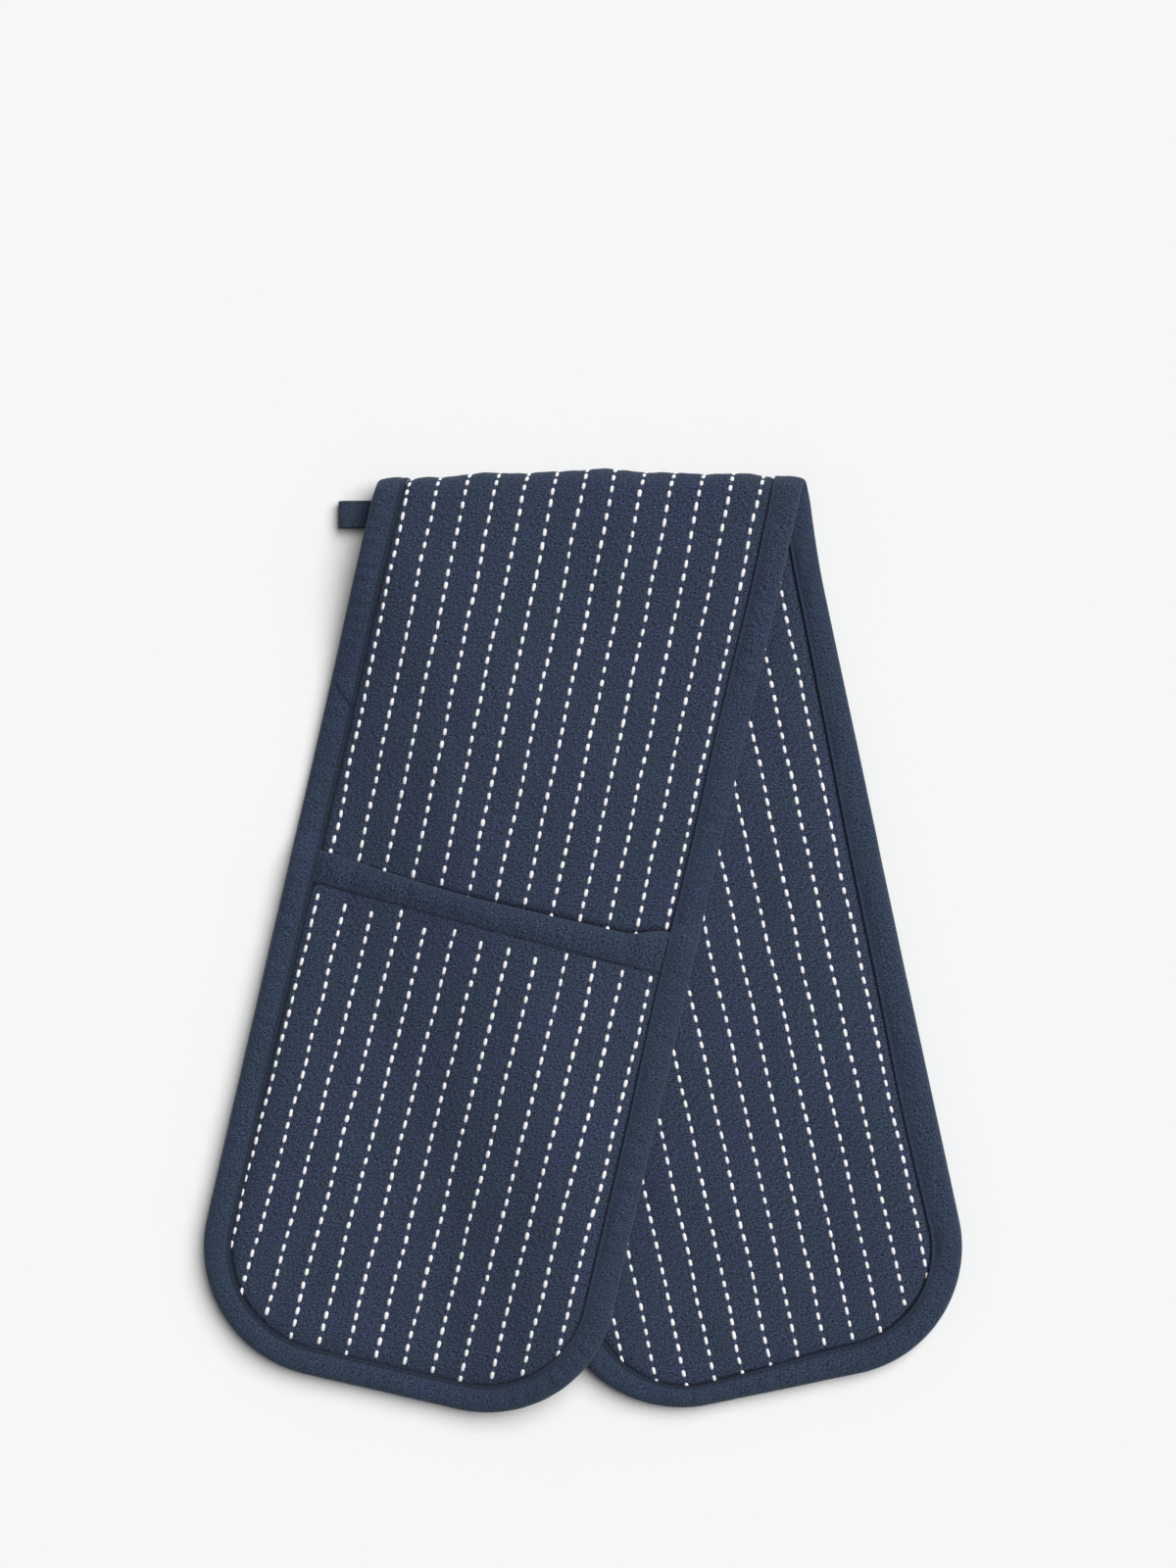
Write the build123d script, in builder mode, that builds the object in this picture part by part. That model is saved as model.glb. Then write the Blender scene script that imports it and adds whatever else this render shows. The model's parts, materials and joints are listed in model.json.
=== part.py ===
from build123d import *
import math
import os

# Double oven glove: one long padded strip with a hand pocket at each end, folded once across its
# middle and laid flat with its two halves fanned apart.
# Millimetres. The surface that it lies on is z = 0, +Z is up. The fold runs along X at the +Y side,
# the lower half runs from it to -Y and +X, the upper half to -Y and -X.
# Strip coordinates of each half: u across the strip from its centre line, t along it from the fold's
# middle, q straight away from the fold line. Side +1 is the lower half, side -1 the upper half.

# strip
STRIP_LENGTH = 846.0
STRIP_WIDTH = 184.0
END_RADIUS = 58.0
FAN_ANGLE = 12.4  # each half's turn away from the normal to the fold line

# cloth
CLOTH = 0.5
PANEL_WADDING = 3.6
POCKET_WADDING = 2.2
PLY_GAP = 0.05  # between plies of one half
BODY_GAP = 0.3  # between pieces that move apart
TABLE_GAP = 0.5  # under the draped edge of the upper half

# binding
BINDING_CLOTH = 0.6
BINDING_WIDTH = 14.0
MOUTH_BINDING_WIDTH = 13.5

# pockets
MOUTH_FROM_MIDDLE = 199.0
POCKET_RISE = 4.6  # how far the pocket stands off its panel at the mouth's centre
RISE_POWER = 4  # how squarely the rise drops to the sewn sides
RISE_HOLDS_TO = 280.0
STEP_START = 71.0  # where the lower panel begins to climb over its own pocket
STEP_END = 187.0  # where it is up, just before the mouth

# drape of the upper half over the lower half's edge
DRAPE_INSIDE = 22.0
DRAPE_WIDTH = 80.0
DRAPE_RUN_IN = 80.0

# hanging loop
TAPE = 0.9
TAPE_WIDTH = 12.0
LOOP_LENGTH = 22.0
LOOP_RADIUS = 3.6
LOOP_FROM_FOLD = 11.0
LOOP_LEVELS = 2  # tape thicknesses at its sewn root

# sections of the lofted plies
STATION_COUNT = 16
SECTION_POINTS = 9
OVERREACH = 10.0  # how far sections and cutting blocks run past the strip

HALF_LENGTH = STRIP_LENGTH / 2
HALF_WIDTH = STRIP_WIDTH / 2
SIN_FAN = math.sin(math.radians(FAN_ANGLE))
COS_FAN = math.cos(math.radians(FAN_ANGLE))
PANEL = 2 * CLOTH + PANEL_WADDING
POCKET = 2 * CLOTH + POCKET_WADDING
SHEET_LIFT = BODY_GAP + BINDING_CLOTH  # panel to pocket lining, with the mouth binding between
SEAM = SHEET_LIFT + POCKET  # sewn pocket edge between panel and edge binding
CLOSED_END = HALF_LENGTH - BINDING_WIDTH
SHEET_INSET = BINDING_WIDTH + BODY_GAP

LOWER_LIFT = BINDING_CLOTH + SEAM
UPPER_LIFT = LOWER_LIFT + POCKET_RISE + PANEL + BODY_GAP + BINDING_CLOTH
FOLD_HEIGHT = UPPER_LIFT + PANEL + BINDING_CLOTH
TALL = 2 * FOLD_HEIGHT

STATION_GAP = (HALF_LENGTH + 2 * OVERREACH) / (STATION_COUNT - 1)
STATIONS = [i * STATION_GAP - OVERREACH for i in range(STATION_COUNT)]
POCKET_STATIONS = [t for t in STATIONS if t > MOUTH_FROM_MIDDLE - STATION_GAP]

# The fold turns half round in three equal steps, at corners on its outer surface. The halves are
# hinged on each other along the middle corner.
TURN = 60.0
FOLD_REACH = FOLD_HEIGHT / 2 / math.tan(math.radians(TURN))
SEGMENT = FOLD_HEIGHT / 2 / math.sin(math.radians(TURN))
HINGE_CORNER = 2

# The plan is centred on the origin: the outermost points are on the end corners' arcs.
REACH_Q = (HALF_LENGTH - END_RADIUS) * COS_FAN + (HALF_WIDTH - END_RADIUS) * SIN_FAN + END_RADIUS
CORNER_Y = (REACH_Q - SEGMENT - FOLD_REACH) / 2  # where the flat part of each half ends
MIDDLE_Y = CORNER_Y + SEGMENT


def smooth(value):
    """Level at 0 and at 1, an even S between."""
    held = min(1.0, max(0.0, value))
    return held * held * (3 - 2 * held)


def strip_point(u, t, side):
    """Plan position of strip coordinates u, t."""
    return side * (t * SIN_FAN + u * COS_FAN), MIDDLE_Y - t * COS_FAN + u * SIN_FAN


def pocket_rise(u, t):
    """Height of the hollow of a pocket, none along its sewn sides and closed end."""
    across = 1 - min(1.0, abs(u) / (HALF_WIDTH - BINDING_WIDTH)) ** RISE_POWER
    return POCKET_RISE * across * (1 - smooth((t - RISE_HOLDS_TO) / (CLOSED_END - RISE_HOLDS_TO)))


def lower_panel(u, t):
    """Underside of the lower panel: on the table by the fold, over its own pocket further on."""
    climb = smooth((t - STEP_START) / (STEP_END - STEP_START))
    return BINDING_CLOTH + climb * (SEAM + pocket_rise(u, t))


def upper_panel(u, t):
    """Underside of the upper panel: level over the lower half, down to the table beside it."""
    x, y = strip_point(u, t, -1)
    q = MIDDLE_Y - y
    past_edge = -HALF_WIDTH - (x * COS_FAN - q * SIN_FAN)
    fall = smooth((past_edge + DRAPE_INSIDE) / DRAPE_WIDTH) * smooth((q - SEGMENT) / DRAPE_RUN_IN)
    return UPPER_LIFT - fall * (UPPER_LIFT - BINDING_CLOTH - TABLE_GAP)


def raised(height, amount):
    """The same surface moved up by amount."""
    return lambda u, t: height(u, t) + amount


def upper_sheet(amount):
    """A surface in the upper pocket, amount above its lining's underside."""
    return lambda u, t: upper_panel(u, t) + PANEL + SHEET_LIFT + pocket_rise(u, t) + amount


def corner_point(number):
    """Corner 1 to 3 of the fold's outer surface, in the plane x = 0."""
    reach = FOLD_REACH if number == HINGE_CORNER else 0.0
    return Vector(0, CORNER_Y + reach, FOLD_HEIGHT / 2 * (number - 1))


def mitre(number, after):
    """Cut through the plies at a corner of the fold, on the piece after it or before it."""
    angle = math.radians(TURN * (number - 0.5))
    along = Vector(0, math.cos(angle), math.sin(angle))
    gap = BODY_GAP if number == HINGE_CORNER else PLY_GAP
    shift = gap / 2 if after else -gap / 2
    return Plane(corner_point(number) + along * shift, x_dir=(1, 0, 0), z_dir=along)


def plan_block(side, inset, start, end, floor=-OVERREACH, height=TALL + OVERREACH):
    """Upright block on the plan of a half between two stations, with round corners at its end."""
    corner = END_RADIUS - inset
    with BuildPart() as block:
        with BuildSketch(Plane((0, MIDDLE_Y, floor), x_dir=(COS_FAN, side * SIN_FAN, 0))) as plan:
            with Locations((0, -start)):
                Rectangle(STRIP_WIDTH - 2 * inset, end - start, align=(Align.CENTER, Align.MAX))
            if end > CLOSED_END - OVERREACH:
                fillet(plan.vertices().group_by(Axis.Y)[0], radius=corner)
        extrude(amount=height)
    return block.part


def draped(side, low, high, block, stations=STATIONS):
    """A ply between two height surfaces, lofted through cross-sections and cut to its plan."""
    width = HALF_WIDTH + OVERREACH
    across = [width * (2 * i / (SECTION_POINTS - 1) - 1) for i in range(SECTION_POINTS)]
    with BuildPart() as ply:
        for t in stations:
            centre = strip_point(0, t, side)
            section = Plane(
                (*centre, 0), x_dir=(side * COS_FAN, SIN_FAN, 0), z_dir=(SIN_FAN, -side * COS_FAN, 0)
            )
            with BuildSketch(section):
                with BuildLine():
                    under = Spline(*[(u, low(u, t)) for u in across])
                    over = Spline(*[(u, high(u, t)) for u in across])
                    Line(under @ 0, over @ 0)
                    Line(under @ 1, over @ 1)
                make_face()
        loft(ruled=True)
        add(block, mode=Mode.INTERSECT)
    return ply.part


def fold_plate(segment, inset, depth, thickness):
    """A slanted plate of fold segment 1 or 2, depth inside the fold's outer surface."""
    start = corner_point(segment)
    run = (corner_point(segment + 1) - start).normalized()
    far_q = SEGMENT * (2 - segment)
    near_q = far_q - SEGMENT
    half = (HALF_WIDTH - inset) / COS_FAN
    slant = SIN_FAN / COS_FAN
    inward = Vector(1, 0, 0).cross(run)
    with BuildPart() as plate:
        with BuildSketch(Plane(start + inward * depth, x_dir=(1, 0, 0), z_dir=inward)):
            with BuildLine():
                Polyline(
                    (far_q * slant - half, 0),
                    (far_q * slant + half, 0),
                    (near_q * slant + half, SEGMENT),
                    (near_q * slant - half, SEGMENT),
                    close=True,
                )
            make_face()
        extrude(amount=thickness)
        split(bisect_by=mitre(segment, True), keep=Keep.TOP)
        split(bisect_by=mitre(segment + 1, False), keep=Keep.BOTTOM)
    return plate.part


def write(name, part):
    """One sub-part, one file."""
    part.label = name
    export_step(part, f"parts/{name}.step")


def below(u, t):
    """A level well under the table, where a block's own floor makes the underside."""
    return -OVERREACH / 2


def edge_binding(half):
    """Bias tape round the edge of a half, stepping at the mouth to take in the pocket's sewn edge."""
    side, panel = half["side"], half["panel"]
    zones = []
    for wall, start, end in (
        (0.0, -OVERREACH, MOUTH_FROM_MIDDLE),
        (0.0, MOUTH_FROM_MIDDLE, HALF_LENGTH),
        (BINDING_CLOTH, -OVERREACH, MOUTH_FROM_MIDDLE + BINDING_CLOTH),
        (BINDING_CLOTH, MOUTH_FROM_MIDDLE + BINDING_CLOTH, HALF_LENGTH - BINDING_CLOTH),
    ):
        cloth = BINDING_CLOTH - wall
        low, high = raised(panel, -cloth), raised(panel, PANEL + cloth)
        floor = -OVERREACH
        if start > 0 and half["pocket_is_over"]:
            high = raised(panel, PANEL + SEAM + cloth)
        elif start > 0:
            low, floor = below, wall
        zones.append(draped(side, low, high, plan_block(side, wall, start, end, floor)))
    with BuildPart() as binding:
        add(zones[0])
        add(zones[1])
        add(zones[2], mode=Mode.SUBTRACT)
        add(zones[3], mode=Mode.SUBTRACT)
        add(plan_block(side, BINDING_WIDTH, -OVERREACH, CLOSED_END), mode=Mode.SUBTRACT)
        split(bisect_by=half["mitre"], keep=half["keep"])
    return binding.part


def panel_plies(name, half):
    """The three plies of a half, listed from the table up."""
    side, panel = half["side"], half["panel"]
    inset = BINDING_CLOTH + PLY_GAP
    block = plan_block(side, inset, -OVERREACH, HALF_LENGTH - inset)
    level = 0.0
    for ply in half["plies"]:
        thickness = PANEL_WADDING if ply == "wadding" else CLOTH
        with BuildPart() as cloth:
            add(draped(side, raised(panel, level), raised(panel, level + thickness - PLY_GAP), block))
            split(bisect_by=half["mitre"], keep=half["keep"])
        write(f"{name}_{ply}", cloth.part)
        level += thickness


os.makedirs("parts", exist_ok=True)

LOWER = {
    "side": 1,
    "panel": lower_panel,
    "plies": ("face_cloth", "wadding", "back_cloth"),
    "pocket_is_over": False,
    "mitre": mitre(1, False),
    "keep": Keep.BOTTOM,
}
UPPER = {
    "side": -1,
    "panel": upper_panel,
    "plies": ("back_cloth", "wadding", "face_cloth"),
    "pocket_is_over": True,
    "mitre": mitre(3, True),
    "keep": Keep.TOP,
}

for name, half in (("lower", LOWER), ("upper", UPPER)):
    panel_plies(name, half)
    write(f"{name}_edge_binding", edge_binding(half))

# Sewn edge of each pocket: its plies pressed together between the panel and the edge binding.
seam_inset = BINDING_CLOTH + PLY_GAP
seam_start = MOUTH_FROM_MIDDLE + seam_inset
seam_end = HALF_LENGTH - seam_inset
seam_block = plan_block(1, seam_inset, seam_start, seam_end, BINDING_CLOTH + PLY_GAP)
with BuildPart() as lower_seam:
    add(draped(1, below, raised(lower_panel, -PLY_GAP), seam_block))
    add(plan_block(1, BINDING_WIDTH, 0, CLOSED_END), mode=Mode.SUBTRACT)
write("lower_pocket_seam", lower_seam.part)

upper_seam_low = raised(upper_panel, PANEL)
upper_seam_high = raised(upper_panel, PANEL + SEAM - PLY_GAP)
with BuildPart() as upper_seam:
    add(draped(-1, upper_seam_low, upper_seam_high, plan_block(-1, seam_inset, seam_start, seam_end)))
    add(plan_block(-1, BINDING_WIDTH, 0, CLOSED_END), mode=Mode.SUBTRACT)
write("upper_pocket_seam", upper_seam.part)

# Fold: one mitred segment of every ply on each half, each with its two lengths of edge binding.
for segment, name in ((1, "lower_fold"), (2, "upper_fold")):
    depth = BINDING_CLOTH
    for ply, thickness in (("face_cloth", CLOTH), ("wadding", PANEL_WADDING), ("back_cloth", CLOTH)):
        plate = fold_plate(segment, BINDING_CLOTH + PLY_GAP, depth + PLY_GAP, thickness - PLY_GAP)
        write(f"{name}_{ply}", plate)
        depth += thickness
    with BuildPart() as wrap:
        add(fold_plate(segment, 0, 0, PANEL + 2 * BINDING_CLOTH))
        add(fold_plate(segment, BINDING_CLOTH, BINDING_CLOTH, PANEL + PLY_GAP), mode=Mode.SUBTRACT)
        add(fold_plate(segment, BINDING_WIDTH, -OVERREACH, 2 * OVERREACH), mode=Mode.SUBTRACT)
    write(f"{name}_edge_binding", wrap.part)

# Pockets: the sheet inside the sewn edge, with its mouth binding, opening about its closed end.
sheet_end = CLOSED_END - BODY_GAP
sheet_start = MOUTH_FROM_MIDDLE + BINDING_CLOTH + PLY_GAP
lower_level = BINDING_CLOTH
upper_level = 0.0
for lower_ply, upper_ply, thickness in (
    ("cloth", "lining", CLOTH),
    ("wadding", "wadding", POCKET_WADDING),
    ("lining", "cloth", CLOTH),
):
    lower_sheet = plan_block(
        1, SHEET_INSET, sheet_start, sheet_end, lower_level + PLY_GAP, thickness - PLY_GAP
    )
    write(f"lower_pocket_{lower_ply}", lower_sheet)
    low = upper_sheet(upper_level)
    high = upper_sheet(upper_level + thickness - PLY_GAP)
    block = plan_block(-1, SHEET_INSET, sheet_start, sheet_end)
    sheet = draped(-1, low, high, block, POCKET_STATIONS)
    write(f"upper_pocket_{upper_ply}", sheet)
    lower_level += thickness
    upper_level += thickness

mouth_end = MOUTH_FROM_MIDDLE + MOUTH_BINDING_WIDTH
cavity_start = MOUTH_FROM_MIDDLE + BINDING_CLOTH
with BuildPart() as lower_mouth:
    add(plan_block(1, SHEET_INSET, MOUTH_FROM_MIDDLE, mouth_end, 0, POCKET + 2 * BINDING_CLOTH))
    add(
        plan_block(1, SHEET_INSET, cavity_start, sheet_end, BINDING_CLOTH, POCKET + PLY_GAP),
        mode=Mode.SUBTRACT,
    )
write("lower_pocket_mouth_binding", lower_mouth.part)

mouth_low = upper_sheet(-BINDING_CLOTH)
mouth_high = upper_sheet(POCKET + BINDING_CLOTH)
mouth_block = plan_block(-1, SHEET_INSET, MOUTH_FROM_MIDDLE, mouth_end)
cavity_low = upper_sheet(-PLY_GAP)
cavity_high = upper_sheet(POCKET)
cavity_block = plan_block(-1, SHEET_INSET, cavity_start, sheet_end)
with BuildPart() as upper_mouth:
    add(draped(-1, mouth_low, mouth_high, mouth_block, POCKET_STATIONS))
    add(draped(-1, cavity_low, cavity_high, cavity_block, POCKET_STATIONS), mode=Mode.SUBTRACT)
write("upper_pocket_mouth_binding", upper_mouth.part)

# Hanging loop: a folded tape out of the lower half's edge by the fold, seen edge-on from -Y.
loop_q = SEGMENT + LOOP_FROM_FOLD
loop_edge = loop_q * SIN_FAN / COS_FAN - HALF_WIDTH / COS_FAN
tip_x = loop_edge - LOOP_LENGTH + LOOP_RADIUS
root_z = BINDING_CLOTH + PANEL / 2
loop_side = Plane((0, MIDDLE_Y - loop_q + TAPE_WIDTH / 2, 0), x_dir=(1, 0, 0), z_dir=(0, -1, 0))
with BuildPart() as loop:
    with BuildSketch(loop_side):
        with Locations((tip_x, LOOP_RADIUS)):
            Circle(LOOP_RADIUS)
        with Locations((loop_edge + OVERREACH, root_z)):
            Rectangle(TAPE, LOOP_LEVELS * TAPE)
        make_hull()
        offset(amount=-TAPE, mode=Mode.SUBTRACT)
    extrude(amount=TAPE_WIDTH)
    add(plan_block(1, -BODY_GAP, -OVERREACH, HALF_LENGTH), mode=Mode.SUBTRACT)
write("hanging_loop", loop.part)
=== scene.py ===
import json
import math

import bpy
import numpy as np
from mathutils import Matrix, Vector


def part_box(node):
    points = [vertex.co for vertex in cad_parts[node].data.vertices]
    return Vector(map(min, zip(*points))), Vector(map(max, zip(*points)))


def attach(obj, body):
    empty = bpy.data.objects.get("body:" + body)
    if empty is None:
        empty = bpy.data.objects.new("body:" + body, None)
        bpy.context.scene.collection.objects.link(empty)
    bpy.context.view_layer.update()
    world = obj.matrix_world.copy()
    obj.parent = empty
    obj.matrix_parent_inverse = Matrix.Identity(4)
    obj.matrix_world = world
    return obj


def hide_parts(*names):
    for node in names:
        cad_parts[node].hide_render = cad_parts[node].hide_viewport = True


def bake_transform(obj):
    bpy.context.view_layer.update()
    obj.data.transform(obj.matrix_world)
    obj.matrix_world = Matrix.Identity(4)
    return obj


# A double oven glove: a padded strip with a pocket at each end, folded once, its halves fanned.
# Lengths are in millimetres in the strip's own coordinates until a mesh is placed: U runs across
# the strip and T along it, T > 0 on the lower half and T < 0 on the upper half, and d is the depth
# below the strip's face, the side that is outermost round the fold.
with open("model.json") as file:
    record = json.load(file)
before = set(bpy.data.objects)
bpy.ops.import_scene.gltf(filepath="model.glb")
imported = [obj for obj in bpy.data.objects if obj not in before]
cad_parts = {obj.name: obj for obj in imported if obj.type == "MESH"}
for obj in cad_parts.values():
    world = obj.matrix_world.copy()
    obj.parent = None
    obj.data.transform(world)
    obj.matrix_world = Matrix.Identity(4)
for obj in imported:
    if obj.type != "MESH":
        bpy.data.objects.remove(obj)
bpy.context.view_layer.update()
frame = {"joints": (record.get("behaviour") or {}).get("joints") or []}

MM = 0.001
JOINTS = {joint["name"]: joint for joint in frame["joints"]}
HINGE_Y = JOINTS["fold"]["pos_m"][1] / MM
BEND_RADIUS = JOINTS["fold"]["pos_m"][2] / MM
COS, SIN = (-part for part in JOINTS["lower_pocket_mouth"]["axis"][:2])  # each half's turn
HALF_BEND = BEND_RADIUS * math.sqrt(3)  # cloth in half of the bend
BEND_START_Y = HINGE_Y - 2 * BEND_RADIUS / math.sqrt(3)

HALF_WIDTH = 92.0
HALF_LENGTH = 423.0
END_RADIUS = 58.0
TAPE = 0.6  # thickness of the binding's cloth
BACK_BINDING = 14.2  # the binding's width on the back
FACE_BINDING = 12.6  # and on the face
PANEL = 4.6  # face cloth, wadding and back cloth
PANEL_INSET = 6.0  # the panel ends this far inside the outline, under the binding
POCKET = 3.2
POCKET_GAP = TAPE + 0.3  # between the panel and a pocket's lining
SEAM = POCKET_GAP + POCKET
RISE = 4.6  # of a pocket's middle
SEWN_DOWN = 14.0  # a pocket is sewn this far inside the outline
CLOSED_END = HALF_LENGTH - SEWN_DOWN
UPPER_LIFT = 2 * BEND_RADIUS - PANEL - TAPE

STRIPE = 12.67  # between the lines of running stitch
LINES = 13
DASH_PITCH = 5.86
STITCH_LENGTH = 3.55
STITCH_WIDTH = 1.74
TOPSTITCH_PITCH = 3.1
TOPSTITCH_LENGTH = 2.3
TOPSTITCH_HEIGHT = 0.42
STITCHED = 12.5  # how far in the topstitch is on the tape's section, before it is narrowed

FAR = 9.0  # a distance at which a sewn edge gets no painted shade
ROW_STEP, COLUMN_STEP, EDGE_STEP = ((2.6, 1.25, 1.0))


def smooth(value):
    held = np.clip(value, 0, 1)
    return held * held * (3 - 2 * held)


def ramp(value, start, over):
    """0 up to start, and smoothly up to 1 over the distance that follows."""
    return smooth((value - start) / over)


def bump(distance, width):
    return np.exp(-((distance / width) ** 2))


def noise(a, b, scale, seed, waves=9):
    """Smooth unevenness of about unit size over a plane, its features about scale wide."""
    random = np.random.default_rng(seed)
    total = np.zeros(np.broadcast(a, b).shape)
    for _ in range(waves):
        turn = random.uniform(0, 2 * np.pi)
        phase = random.uniform(0, 2 * np.pi)
        pitch = random.uniform(0.6, 1.5) * np.pi / scale
        total += np.sin(pitch * (a * np.cos(turn) + b * np.sin(turn)) + phase)
    return total / math.sqrt(waves / 2)


# ---- the strip's form, the same as the CAD's ----

UPPER_SHIFT = 2.3  # each half lies this far off its true line
LOWER_SHIFT = 1.8
LOWER_END_SHIFT = 0.7
UPPER_SLACK = 0.001  # share of the length taken up by waves in the cloth
LOWER_SLACK = 0.0075
FOLD_BOW = 3.9  # the fold isn't quite straight: it bows out most at x = FOLD_BOW_X
FOLD_BOW_X = 18.0
FOLD_BOW_LEAST = -0.4  # share of the bow that its ends may draw in
FOLD_BOW_REACH = 60.0
FOLD_PRESSED = 0.55  # share of the padding's height lost at the fold
FOLD_PRESSED_REACH = 9.0
FOLD_ROWS_REACH = 70.0  # rows of points turn to run along the fold about this near to it
RISE_HELD = 280.0  # a pocket sinks from here to its closed end
FALL_OVER = 80.0  # the upper half falls to the table over this distance
OFF_TABLE = 0.5  # and its binding then stays this far above it


def plan(U, T):
    """x and the distance from the fold's middle line, with each half a little off its true line."""
    x = T * SIN + U * COS
    from_fold = T * COS - U * SIN
    low = ramp(from_fold, -25, 80)
    towards_end = ramp(from_fold, 150, 250)
    low_shift = LOWER_SHIFT - (LOWER_SHIFT - LOWER_END_SHIFT) * towards_end
    x = x + (1 - low) * UPPER_SHIFT - low * low_shift
    slack = np.where(from_fold > 0, LOWER_SLACK, UPPER_SLACK)
    return x, from_fold * (1 - slack)


def rise(u, t):
    """How far a pocket stands off its half, u across it and t from the fold."""
    across = 1 - np.minimum(1, np.abs(u) / (HALF_WIDTH - SEWN_DOWN)) ** 4
    return RISE * across * (1 - ramp(t, RISE_HELD, CLOSED_END - RISE_HELD))


def lift(U, T):
    """The lower half lies on its own pocket, and the upper half falls to the table beside it."""
    x, from_fold = plan(U, T)
    on_pocket = ramp(T, 71, 116) * (SEAM + rise(U, T))
    past_edge = -HALF_WIDTH - (x * COS + from_fold * SIN)
    fall = ramp(past_edge, -22, FALL_OVER) * ramp(-from_fold, HALF_BEND, FALL_OVER)
    return np.where(from_fold > 0, on_pocket, -fall * (UPPER_LIFT - TAPE - OFF_TABLE))


def place(U, T, d):
    """Strip coordinates to the frame, round the fold where they cross it."""
    x, from_fold = plan(U, T)
    angle = -np.pi / 2 * np.clip(from_fold / HALF_BEND, -1, 1)
    radius = BEND_RADIUS - d
    y = BEND_START_Y + radius * np.cos(angle) - np.maximum(np.abs(from_fold) - HALF_BEND, 0)
    bow = FOLD_BOW * np.maximum(1 - ((x - FOLD_BOW_X) / HALF_WIDTH) ** 2, FOLD_BOW_LEAST)
    y = y + bow * ramp(y - HINGE_Y, -FOLD_BOW_REACH, FOLD_BOW_REACH)
    z = BEND_RADIUS + radius * np.sin(angle) + lift(U, T)
    return np.stack([x, y, z], -1)


def with_fold(U, T):
    """T turned near the fold, so that rows of points run along the fold and none crosses it."""
    return T + U * SIN / COS * bump(T, FOLD_ROWS_REACH)


def pressed(U, T):
    """The share of its height that the padding keeps: it is pressed thin where it is folded."""
    return 1 - FOLD_PRESSED * bump(plan(U, T)[1], FOLD_PRESSED_REACH)


def inset_of(U, T):
    """Distance in from the strip's outline."""
    du = np.abs(U) - (HALF_WIDTH - END_RADIUS)
    dt = np.abs(T) - (HALF_LENGTH - END_RADIUS)
    outside = np.hypot(np.maximum(du, 0), np.maximum(dt, 0))
    return END_RADIUS - np.where(np.minimum(du, dt) > 0, outside, np.maximum(du, dt))


def half_width(T, inset):
    """Half the strip's width at T, inset from its outline, so that rows follow the round corners."""
    radius = END_RADIUS - inset
    past = np.clip(np.abs(T) - (HALF_LENGTH - END_RADIUS), 0, radius)
    return HALF_WIDTH - END_RADIUS + np.sqrt(np.maximum(radius * radius - past * past, 0))


def back_width(U, T):
    """Share of its width that the binding shows on the back: less by the fold and at one corner."""
    by_corner = bump(U + 40, 45) * ramp(T, 380, 30)
    return 1 - 0.2 * bump(T, 170) - 0.27 * by_corner


def past_binding(U, T, back=False):
    """How far in from the binding's sewn edge."""
    return inset_of(U, T) - (BACK_BINDING * back_width(U, T) if back else FACE_BINDING)


# ---- lines of running stitch, counted across the strip, as U at T ----

POCKET_LINES_FROM = 210.0  # the pockets' lines are measured from here, near their mouths


def face_line(number, T):
    return -77.9 + STRIPE * number - 0.0162 * T


def back_line(number, T):
    return 72.9 - 12.74 * number


def upper_pocket_line(number, T):
    past = -T - POCKET_LINES_FROM
    bow_left = 1.5 * bump(past - 95, 70) * np.clip(1 - number / 4, 0, 1)
    bow_right = 1.2 * bump(past - 50, 50) * np.clip((number - 7) / 5, 0, 1)
    spacing = 12.53 + 0.0021 * past
    U = -0.7 + bow_left + bow_right + spacing * (number - LINES // 2) - 0.023 * past
    return np.maximum(U, FACE_BINDING + 0.9 - HALF_WIDTH)


def lower_pocket_line(number, T):
    return -75.5 + 12.6 * number - 0.012 * (T - POCKET_LINES_FROM)


# ---- relief of the cloth ----

# soft folds of cloth: middle (U, T), angle from the strip's length, length, width and height
FACE_CREASES = [
    ((31, -74), 38, 60, 4.0, 0.55),
    ((52, -118), 24, 50, 4.5, 0.5),
    ((6, -98), 48, 46, 4.0, 0.4),
    ((-38, -140), -20, 60, 5.5, 0.35),
    ((-20, -52), 62, 50, 5.0, 0.3),
]
BACK_CREASES = [
    ((40, 150), 40, 55, 4.5, 0.55),
    ((58, 118), 25, 45, 4.0, 0.45),
    ((30, 268), -62, 70, 5.0, 0.6),
    ((62, 330), 30, 60, 5.0, 0.4),
]
POCKET_CREASES = [
    ((-62, -318), 70, 26, 2.6, 0.5),
    ((-58, -326), 78, 22, 2.2, 0.4),
    ((-20, -336), 55, 50, 6.0, -0.6),
    ((34, -292), 28, 70, 6.0, 0.4),
    ((-48, -252), 40, 40, 4.0, 0.35),
]
# relief that would press into what the cloth lies on is held to these
BELOW_MOST = 0.3
INSIDE_MOST = 0.2
UNDER_POCKET_MOST = 0.25
DIMPLE = 0.42  # depth of the cloth at a stitch
PUFF = 0.16  # and its height between the lines
SEAM_FADE = 14.0  # wrinkles fade over this distance to a sewn edge


def dimple(line, U, T):
    """How far the cloth is drawn in along its lines of stitch, and how it puffs up between them."""
    spacing = line(1, T) - line(0, T)
    number = (U - line(0, T)) / spacing
    off = np.abs(number - np.clip(np.round(number), 0, LINES - 1)) * np.abs(spacing)
    dash = 0.75 + 0.25 * np.cos(2 * np.pi * T / DASH_PITCH)
    return -DIMPLE * dash * bump(off, 1.25) + PUFF * (1 - bump(off, 4.5))


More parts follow.
